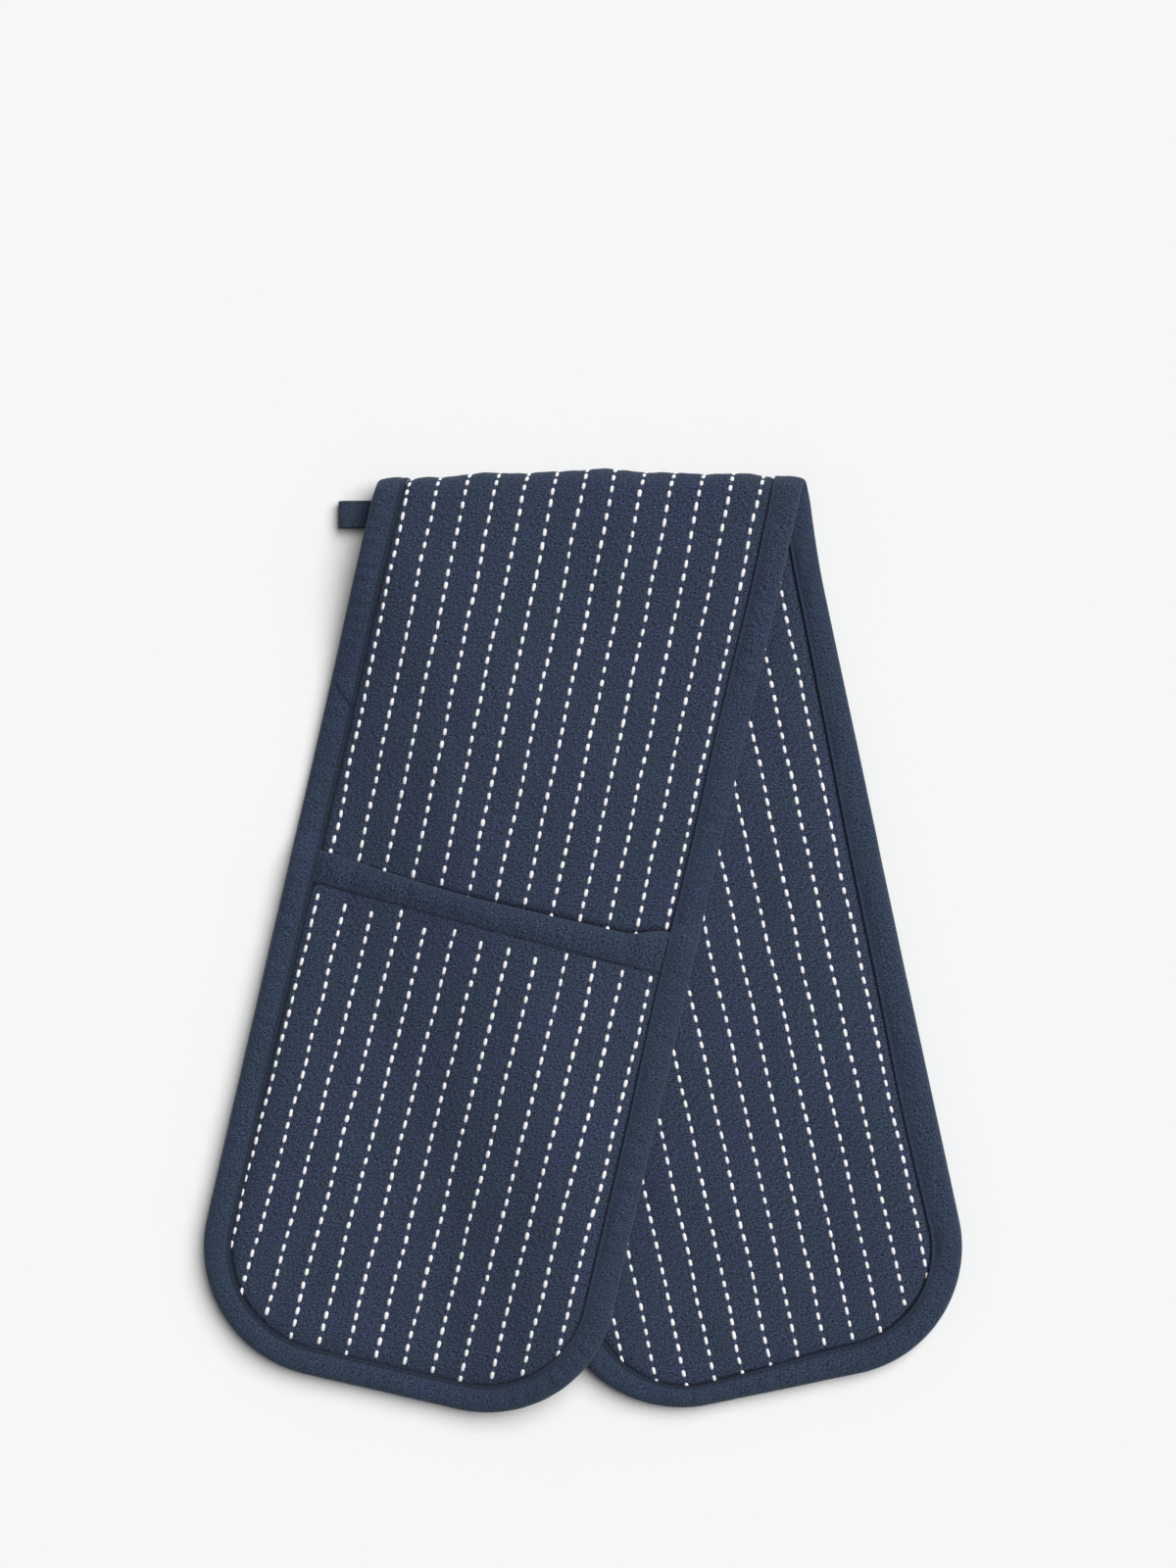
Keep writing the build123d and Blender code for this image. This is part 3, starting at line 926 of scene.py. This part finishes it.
def line_points(line, first, last, back, seed):
    """Where the stitches of every line are, their directions, lengths and widths."""
    random = np.random.default_rng(seed)
    stitches = []
    for number in range(LINES):
        T = np.arange(first, last, DASH_PITCH) + random.uniform(0, DASH_PITCH)
        T = T + random.normal(0, 0.16, T.size)
        U = line(number, T) + 0.22 * noise(T, 0 * T, 22, seed + number) + random.normal(0, 0.07, T.size)
        keep = (past_binding(U, T, back) > -0.9) & (T < last)
        T, U = T[keep], U[keep]
        if not T.size:
            continue
        slope = line(number, T + 1) - line(number, T) + random.normal(0, 0.035, T.size)
        length = STITCH_LENGTH + random.normal(0, 0.25, T.size)
        width = STITCH_WIDTH + random.normal(0, 0.1, T.size)
        stitches.append((U, T, slope, length, width))
    U, T, slope, length, width = (np.concatenate(part) for part in zip(*stitches))
    return np.stack([U, T], -1), np.stack([slope, np.ones_like(T)], -1), length, width


def stitch_lines(name, line, first, last, depth_of, outward, seed, keep=None):
    """The stitches that show, and the thread between them that shows through the weave."""
    centres, directions, lengths, widths = line_points(line, first, last, outward > 0, seed)
    if keep is not None:
        kept = keep(centres[:, 0], centres[:, 1])
        centres, directions, lengths, widths = centres[kept], directions[kept], lengths[kept], widths[kept]
    points, quads, uv, *where = dashes(
        centres, directions, lengths, widths, STITCH_HEIGHT, depth_of, outward
    )
    shown = make(name, points, quads, white_thread, uv)
    step = np.diff(centres, axis=0)
    near = np.hypot(step[:, 0], step[:, 1]) < 1.6 * DASH_PITCH
    between, run = (centres[:-1] + 0.5 * step)[near], step[near]
    lengths, widths = np.full(len(run), LINK_LENGTH), np.full(len(run), LINK_WIDTH)
    points, quads, uv, *link_where = dashes(between, run, lengths, widths, LINK_HEIGHT, depth_of, outward)
    link = make(f"{name}_link", points, quads, link_thread, uv)
    return (shown, *where), (link, *link_where)


def strip_stitches():
    last = HALF_LENGTH - STITCH_ENDS
    reach = HIDDEN_BY_POCKET
    on_face = stitch_lines("face_stitches", face_line, -reach, reach, face_depth, -1, 201)
    on_back = stitch_lines("back_stitches", back_line, -last, last, back_depth, 1, 231)
    for stitches, _, middle in on_face + on_back:
        across_fold(stitches)


def pocket_stitches(upper):
    name = "upper_pocket_stitches" if upper else "lower_pocket_stitches"
    line = upper_pocket_line if upper else lower_pocket_line
    side = side_of(upper)
    first, last = sorted((side * 200.0, side * (HALF_LENGTH - STITCH_ENDS)))

    def below_seam(U, T):
        return side * T > mouth_seam(side * U, upper) + 2.2

    drawn = stitch_lines(name, line, first, last, pocket_face(upper), -1, 261 + upper, keep=below_seam)
    for stitches, (U, T), _ in drawn:
        across_pocket(stitches)


def topstitch():
    """Fine thread along the binding's sewn edge, through from the face to the back."""
    run = np.arange(0.5 * TOPSTITCH_PITCH, EDGE_RUN[-1], TOPSTITCH_PITCH)
    edge = np.stack([np.interp(run, EDGE_RUN, part) for part in EDGE.T], -1)
    inward = np.stack([np.interp(run, EDGE_RUN, part) for part in INWARD.T], -1)
    directions = np.stack([-inward[:, 1], inward[:, 0]], -1)
    lengths, widths = np.full(run.size, TOPSTITCH_LENGTH), np.full(run.size, BINDING_THREAD_WIDTH)

    def face(U, T):
        return TAPE - pocket_stack(T) - 0.2 + 0 * U

    def back(U, T):
        return TAPE + PANEL * pressed(U, T) + 0.2

    sides = (("face", face, -1, FACE_BINDING / TAPE_WIDTH), ("back", back, 1, back_width(*edge.T)))
    for name, depth, outward, narrow in sides:
        inset = (STITCHED + edge_wander(run)) * narrow
        centres = edge + inset[:, None] * inward
        points, quads, uv, _, middle = dashes(
            centres, directions, lengths, widths, TOPSTITCH_HEIGHT, depth, outward
        )
        thread = make(f"binding_thread_{name}", points, quads, navy_thread, uv)
        across_fold(thread)


def mouth_topstitch(upper):
    name, side = ("upper" if upper else "lower"), side_of(upper)
    u = np.arange(-HALF_WIDTH + BACK_BINDING + 1.5, HALF_WIDTH - BACK_BINDING - 1, TOPSTITCH_PITCH)
    centres = side * np.stack([u, mouth_seam(u, upper) - MOUTH_STITCHED], -1)
    directions = np.stack([np.ones_like(u), np.full(u.size, MOUTH_SLOPE * upper)], -1)
    lengths, widths = np.full(u.size, TOPSTITCH_LENGTH), np.full(u.size, MOUTH_THREAD_WIDTH)
    depth = pocket_face(upper, off=MOUTH_THREAD_LIFT)
    points, quads, uv, (U, T), _ = dashes(
        centres, directions, lengths, widths, TOPSTITCH_HEIGHT, depth, -1
    )
    thread = make(f"{name}_mouth_thread", points, quads, navy_thread, uv)
    across_pocket(thread)


# ---- hanging loop ----

LOOP_THICK = 0.9
LOOP_ROOT_Z = 2.9
LOOP_ROOT_IN = 1.2  # how far the root reaches past the CAD's loop into the edge
LOOP_APART = 0.55  # each layer's middle is this far from the root's
LOOP_Y = -1.4  # the loop lies a little off its place in the CAD
LOOP_SLOPE = 0.025
# half of the tape's section: across it, and off its middle, as shares of half its width and thickness
LOOP_SECTION = (
    (-1, 0), (-0.97, 0.8), (-0.8, 1), (-0.74, 0.78), (-0.68, 1.05), (0, 1.1),
    (0.68, 1.05), (0.74, 0.78), (0.8, 1), (0.97, 0.8), (1, 0),
)


def strand(start, end, rise_between):
    """Points from start to end, raised by so much half-way between them."""
    share = np.linspace(0, 1, 9)[:, None]
    points = start + (end - start) * share
    points[:, 1] += rise_between * np.sin(np.pi * share[:, 0])
    return points


def hanging_loop():
    """A folded tape: out of the edge, round its bight and back in under itself."""
    low, high = (np.array(corner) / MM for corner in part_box("hanging_loop"))
    tall = high[2] - low[2]
    radius = (tall - LOOP_THICK) / 2
    centre = np.array([low[0] + tall / 2, (low[2] + high[2]) / 2])
    angles = np.linspace(np.pi / 2, 3 * np.pi / 2, 17)
    bight = centre + radius * np.stack([np.cos(angles), np.sin(angles)], -1)
    root_x = high[0] + LOOP_ROOT_IN
    upper_root = np.array([root_x, LOOP_ROOT_Z + LOOP_APART])
    lower_root = np.array([root_x, LOOP_ROOT_Z - LOOP_APART])
    upper_strand = strand(upper_root, bight[0], 0.5)
    lower_strand = strand(bight[-1], lower_root, -0.1)
    path = np.concatenate([upper_strand[:-1], bight, lower_strand[1:]])
    tangent = np.gradient(path, axis=0)
    tangent /= np.linalg.norm(tangent, axis=1, keepdims=True)
    normal = np.stack([tangent[:, 1], -tangent[:, 0]], -1)
    under = [(across, -off) for across, off in LOOP_SECTION[-2:0:-1]]
    section = np.array([*LOOP_SECTION, *under]) * ((high[1] - low[1]) / 2, LOOP_THICK / 2)
    path_x, path_z = path[:, 0, None], path[:, 1, None]
    x = path_x + normal[:, 0, None] * section[:, 1]
    y = (low[1] + high[1]) / 2 + LOOP_Y + LOOP_SLOPE * (path_x - root_x) + section[:, 0]
    z = np.maximum(path_z + normal[:, 1, None] * section[:, 1], 0.02)
    run = np.concatenate([[0], np.cumsum(np.linalg.norm(np.diff(path, axis=0), axis=1))])
    uv = np.stack([np.tile(section[:, 0], len(path)), np.repeat(run, len(section))], -1)
    points = np.stack([x, y, z], -1).reshape(-1, 3)
    quads = grid(*x.shape, wrap_columns=True)
    loop = make("hanging_loop_tape", points, quads, loop_tape, uv)
    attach(loop, "hanging_loop")
    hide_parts("hanging_loop")


# ---- stage, light and camera ----

PALE = (0.93, 0.93, 0.93, 1)
FLOOR_SIZE = 6.0
FLOOR_Z = -0.0004
FILL = 0.16
KEY_ENERGY = 3.15
KEY_WIDTH = 50  # degrees, for soft shadows
KEY_DIRECTION = (-0.50, -0.42, -1.0)
AIM = (0.0008, 0.0710, 0.012)
DISTANCE = 1.8
FRAME_HEIGHT = 0.6923  # seen by the camera at the glove
CAMERA_TURN = 0.6
SENSOR = 36.0


def stage_floor():
    corners = [(-1, -1), (1, -1), (1, 1), (-1, 1)]
    mesh = bpy.data.meshes.new("floor")
    mesh.from_pydata([(x * FLOOR_SIZE, y * FLOOR_SIZE, FLOOR_Z) for x, y in corners], [], [(0, 1, 2, 3)])
    material = bpy.data.materials.new("floor")
    _, shader = nodes_of(material)
    shader.inputs["Base Color"].default_value = PALE
    shader.inputs["Roughness"].default_value = 0.9
    shader.inputs["Specular IOR Level"].default_value = 0.0
    mesh.materials.append(material)
    floor = bpy.data.objects.new("floor", mesh)
    bpy.context.scene.collection.objects.link(floor)


def studio_world():
    """Soft white fill, with a pale backdrop where the camera looks past the floor."""
    world = bpy.data.worlds.new("studio")
    bpy.context.scene.world = world
    world.use_nodes = True
    nodes, links = world.node_tree.nodes, world.node_tree.links
    backdrop = nodes["Background"]
    backdrop.inputs["Color"].default_value = PALE
    fill = nodes.new("ShaderNodeBackground")
    fill.inputs["Color"].default_value = (1, 1, 1, 1)
    fill.inputs["Strength"].default_value = FILL
    ray = nodes.new("ShaderNodeLightPath")
    either = nodes.new("ShaderNodeMixShader")
    links.new(ray.outputs["Is Camera Ray"], either.inputs[0])
    links.new(fill.outputs[0], either.inputs[1])
    links.new(backdrop.outputs[0], either.inputs[2])
    links.new(either.outputs[0], nodes["World Output"].inputs["Surface"])


def key_light():
    sun = bpy.data.lights.new("key", "SUN")
    sun.energy = KEY_ENERGY
    sun.angle = math.radians(KEY_WIDTH)
    key = bpy.data.objects.new("key", sun)
    bpy.context.scene.collection.objects.link(key)
    key.rotation_mode = "QUATERNION"
    key.rotation_quaternion = Vector(KEY_DIRECTION).to_track_quat("-Z", "Y")


def set_camera():
    data = bpy.data.cameras.new("camera")
    data.sensor_width = SENSOR
    data.lens = SENSOR * DISTANCE / FRAME_HEIGHT
    camera = bpy.data.objects.new("camera", data)
    bpy.context.scene.collection.objects.link(camera)
    camera.location = (AIM[0], AIM[1], AIM[2] + DISTANCE)
    camera.rotation_euler = (0, 0, math.radians(CAMERA_TURN))
    bpy.context.scene.camera = camera


padded_strip()
edge_binding()
for upper_one in (True, False):
    pocket_sheet(upper_one)
    mouth_tape(upper_one)
strip_stitches()
for upper_one in (True, False):
    pocket_stitches(upper_one)
topstitch()
for upper_one in (True, False):
    mouth_topstitch(upper_one)
hanging_loop()

stage_floor()
studio_world()
key_light()
set_camera()
bpy.context.scene.view_settings.view_transform = "Standard"
